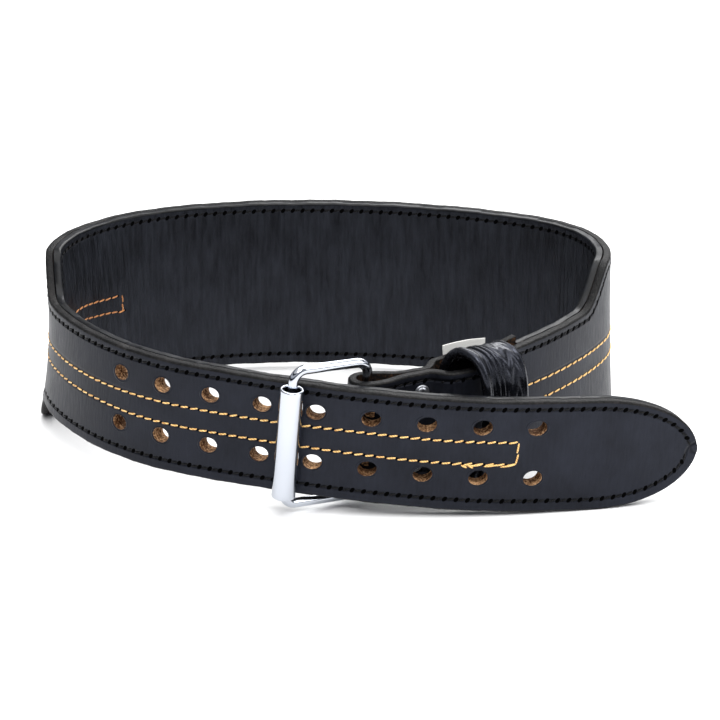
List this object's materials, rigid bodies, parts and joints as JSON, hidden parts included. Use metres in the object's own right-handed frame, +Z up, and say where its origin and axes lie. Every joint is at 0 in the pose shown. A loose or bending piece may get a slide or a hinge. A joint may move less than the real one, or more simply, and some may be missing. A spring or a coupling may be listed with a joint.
{
  "type": "weightlifting belt",
  "caption": "Buckled belt of thick black leather, wide at the back, with rows of prong holes, twin yellow stitching and a roller buckle.",
  "frame": {"origin": "on the surface that the belt lies on, under the middle of its bounding box", "axes": "+Z up, +X along the belt's length towards the tongue's tip, -Y towards the buckle"},
  "size_m": [0.3602, 0.2562, 0.1067],
  "materials": {
    "face_leather": "satin black finished leather",
    "lining_leather": "matt black leather, finely wrinkled",
    "keeper_leather": "glossy black leather",
    "plated_steel": "bright plating",
    "rivet_steel": "dulled plating",
    "label_tape": "white woven tape",
    "yellow_thread": "waxed yellow thread",
    "black_thread": "waxed black thread"
  },
  "bodies": {
    "root": {"outer_ply": "face_leather", "inner_ply": "lining_leather", "buckle_frame": "plated_steel", "roller": "plated_steel", "prong_upper": "plated_steel", "prong_lower": "plated_steel", "rivet_upper": "rivet_steel", "rivet_lower": "rivet_steel", "keeper": "keeper_leather", "label": "label_tape"}
  },
  "joints": []
}
